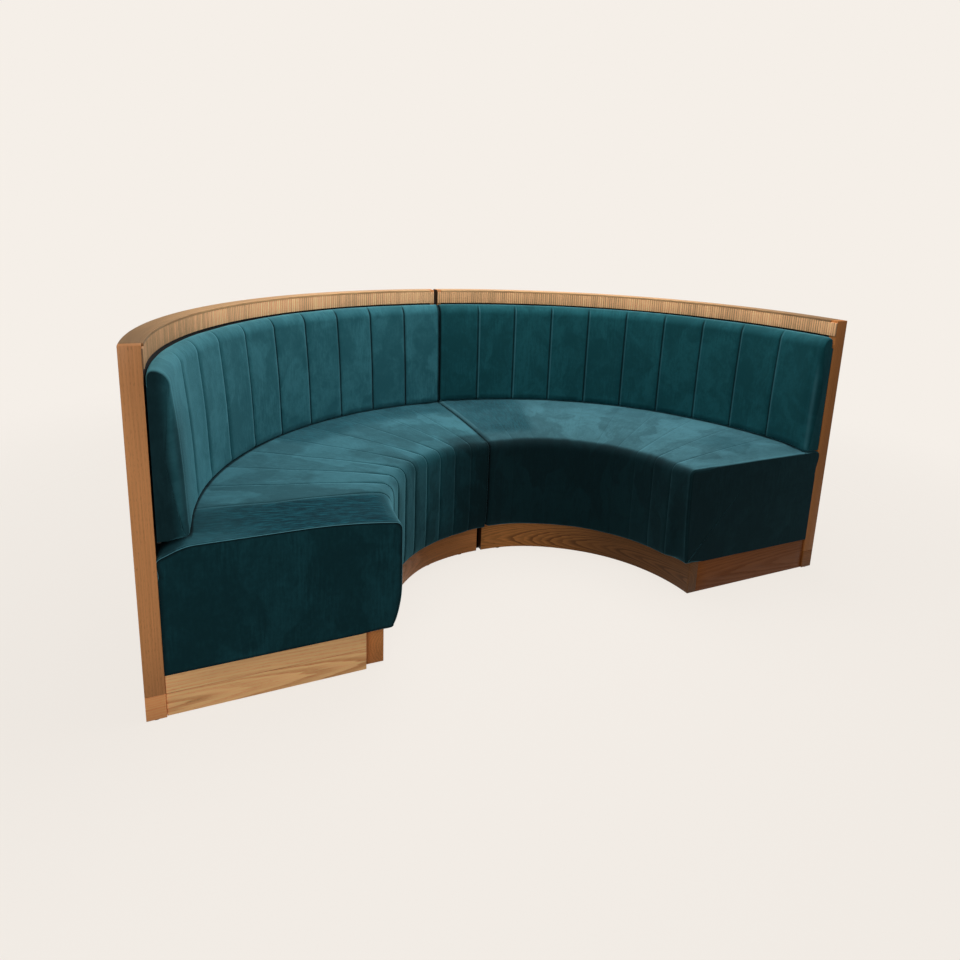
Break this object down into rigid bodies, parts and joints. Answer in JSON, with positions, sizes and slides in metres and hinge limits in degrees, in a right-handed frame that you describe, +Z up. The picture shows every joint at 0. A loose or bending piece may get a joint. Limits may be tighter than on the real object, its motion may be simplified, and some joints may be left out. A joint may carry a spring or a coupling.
{
  "type": "curved upholstered banquette bench",
  "caption": "Half-round banquette booth in two oak-framed quarter sections, with channelled velvet seat and back cushions on a recessed plinth",
  "frame": {"origin": "on the floor, under the centre of the overall bounding box", "axes": "+Z up, +X to the right of someone who looks into the booth, +Y towards its back, so the open side faces -Y"},
  "size_m": [2.415, 1.2, 1],
  "materials": {
    "oak": "stained oak, satin lacquer",
    "oak_foot": "stained oak, cross grain, satin lacquer",
    "oak_reeds": "stained oak reeding, satin lacquer",
    "oak_veneer": "stained oak veneer, satin lacquer",
    "plinth_veneer": "dark stained oak veneer, satin",
    "plinth_oak": "stained oak, satin",
    "plywood": "bare plywood",
    "glide_nylon": "moulded nylon",
    "foam": "upholstery foam",
    "velvet": "teal velvet, padded in sewn channels",
    "velvet_flat": "teal velvet, flat",
    "steel": "zinc plated steel"
  },
  "bodies": {
    "root": {"left_end_post": "oak", "left_post_foot": "oak_foot", "left_seam_post": "oak", "left_top_rail": "oak", "left_reeded_band": "oak_reeds", "left_outer_back_panel": "oak_veneer", "left_inner_back_panel": "plywood", "left_back_rails": "plywood", "left_back_studs": "plywood", "left_plinth_front": "plinth_veneer", "left_plinth_end_board": "plinth_oak", "left_plinth_seam_board": "plywood", "left_plinth_back_rail": "plywood", "left_plinth_bearers": "plywood", "left_glides": "glide_nylon", "left_seat_floor": "plywood", "left_seat_front_panel": "plywood", "left_seat_back_rail": "plywood", "left_seat_end_frames": "plywood", "left_seat_ribs": "plywood", "left_seat_deck": "plywood", "left_seat_foam": "foam", "left_seat_cover": "velvet", "left_seat_side_panels": "velvet_flat", "left_back_pad_board": "plywood", "left_back_pad_foam": "foam", "left_back_pad_cover": "velvet", "left_back_pad_side_panels": "velvet_flat", "left_pad_clips": "steel", "left_frame_bolts": "steel", "right_end_post": "oak", "right_post_foot": "oak_foot", "right_seam_post": "oak", "right_top_rail": "oak", "right_reeded_band": "oak_reeds", "right_outer_back_panel": "oak_veneer", "right_inner_back_panel": "plywood", "right_back_rails": "plywood", "right_back_studs": "plywood", "right_plinth_front": "plinth_veneer", "right_plinth_end_board": "plinth_oak", "right_plinth_seam_board": "plywood", "right_plinth_back_rail": "plywood", "right_plinth_bearers": "plywood", "right_glides": "glide_nylon", "right_seat_floor": "plywood", "right_seat_front_panel": "plywood", "right_seat_back_rail": "plywood", "right_seat_end_frames": "plywood", "right_seat_ribs": "plywood", "right_seat_deck": "plywood", "right_seat_foam": "foam", "right_seat_cover": "velvet", "right_seat_side_panels": "velvet_flat", "right_back_pad_board": "plywood", "right_back_pad_foam": "foam", "right_back_pad_cover": "velvet", "right_back_pad_side_panels": "velvet_flat", "right_pad_clips": "steel", "right_frame_bolts": "steel"}
  },
  "joints": []
}
